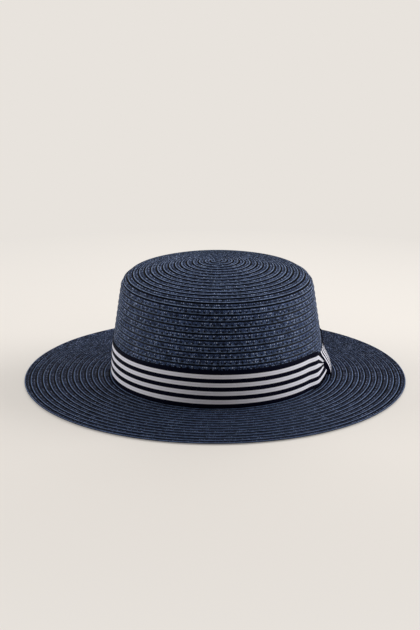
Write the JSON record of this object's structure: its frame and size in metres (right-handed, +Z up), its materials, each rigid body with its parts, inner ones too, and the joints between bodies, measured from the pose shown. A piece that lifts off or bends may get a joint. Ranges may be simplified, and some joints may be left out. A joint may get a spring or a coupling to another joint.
{
  "type": "beach hat",
  "caption": "Boater-style straw beach hat: flat-topped sewn-braid crown, wide flat brim and a striped ribbon band gathered under an upright ribbon wrap at one side.",
  "frame": {"origin": "on the surface the hat lies on, below the middle of its box", "axes": "+Z up through the crown, +Y to the back of the head, +X to the wearer's left, where the ribbon wrap is"},
  "size_m": [0.32, 0.342, 0.0965],
  "materials": {
    "straw_crown": "navy paper straw braid, sewn in rows, slight sheen",
    "straw_brim": "navy paper straw braid, sewn in rows, slight sheen",
    "ribbon_band": "grosgrain ribbon, white stripes on very dark navy",
    "ribbon_wrap": "grosgrain ribbon, white stripes on very dark navy"
  },
  "bodies": {
    "root": {"crown": "straw_crown", "brim": "straw_brim", "hat_band": "ribbon_band", "band_wrap": "ribbon_wrap"}
  },
  "joints": []
}
